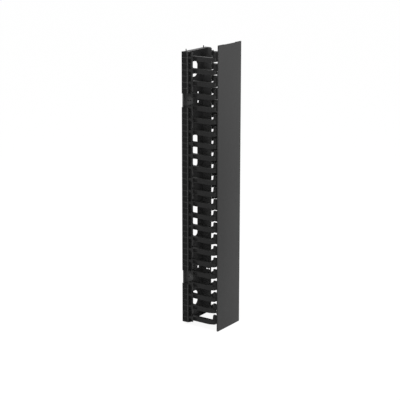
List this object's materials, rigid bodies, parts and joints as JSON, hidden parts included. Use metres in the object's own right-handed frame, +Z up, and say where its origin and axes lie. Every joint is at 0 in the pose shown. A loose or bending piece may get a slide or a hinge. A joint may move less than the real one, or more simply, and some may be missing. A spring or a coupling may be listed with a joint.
{
  "type": "vertical cable manager",
  "caption": "Tall vertical cable manager: rear steel channel with pass-through holes, rows of upturned cable fingers on both sides, and a full-height door hinged on either edge.",
  "frame": {"origin": "middle of the whole object's box, level with the door's bottom edge", "axes": "+X to the right seen from the door side, +Y to the rear, +Z up"},
  "size_m": [0.298, 0.317, 2.1265],
  "materials": {
    "frame_paint": "fine-textured black powder coat",
    "door_paint": "smooth satin black powder coat",
    "cover_plastic": "black moulded plastic, finely textured",
    "comb_plastic": "black moulded plastic, satin",
    "trim_plastic": "black flexible edging",
    "clip_plastic": "black moulded plastic",
    "cap_plastic": "black moulded plastic",
    "bracket_zinc": "zinc-plated sheet steel",
    "hardware": "zinc-plated steel"
  },
  "bodies": {
    "frame": {"back_panel": "frame_paint", "pass_through_trim_1": "trim_plastic", "pass_through_trim_2": "trim_plastic", "pass_through_trim_3": "trim_plastic", "pass_through_trim_4": "trim_plastic", "side_post_left": "frame_paint", "side_post_right": "frame_paint", "top_studs": "hardware", "finger_comb_1_left": "comb_plastic", "finger_comb_1_right": "comb_plastic", "finger_comb_2_left": "comb_plastic", "finger_comb_2_right": "comb_plastic", "finger_comb_3_left": "comb_plastic", "finger_comb_3_right": "comb_plastic", "finger_comb_4_left": "comb_plastic", "finger_comb_4_right": "comb_plastic", "finger_comb_5_left": "comb_plastic", "finger_comb_5_right": "comb_plastic", "side_cover_lower_left": "cover_plastic", "side_cover_lower_right": "cover_plastic", "side_cover_middle_left": "cover_plastic", "side_cover_middle_right": "cover_plastic", "side_cover_upper_left": "cover_plastic", "side_cover_upper_right": "cover_plastic", "hinge_clips_left": "clip_plastic", "hinge_clips_right": "clip_plastic"},
    "right_hinge_pins": {"hinge_pins_right": "hardware"},
    "door": {"door_panel": "door_paint", "door_stiffener": "door_paint", "door_top_caps": "cap_plastic", "pin_brackets_left": "bracket_zinc", "pin_brackets_right": "bracket_zinc", "hinge_pins_left": "hardware"}
  },
  "joints": [
    {"name": "left_hinge", "type": "hinge", "parent": "frame", "child": "right_hinge_pins", "pos_m": [-0.138, -0.1475, 1.039], "axis": [0, 0, -1], "range_deg": [0, 110]},
    {"name": "right_hinge", "type": "hinge", "parent": "right_hinge_pins", "child": "door", "pos_m": [0.138, -0.1475, 1.039], "axis": [0, 0, 1], "range_deg": [0, 110]}
  ]
}
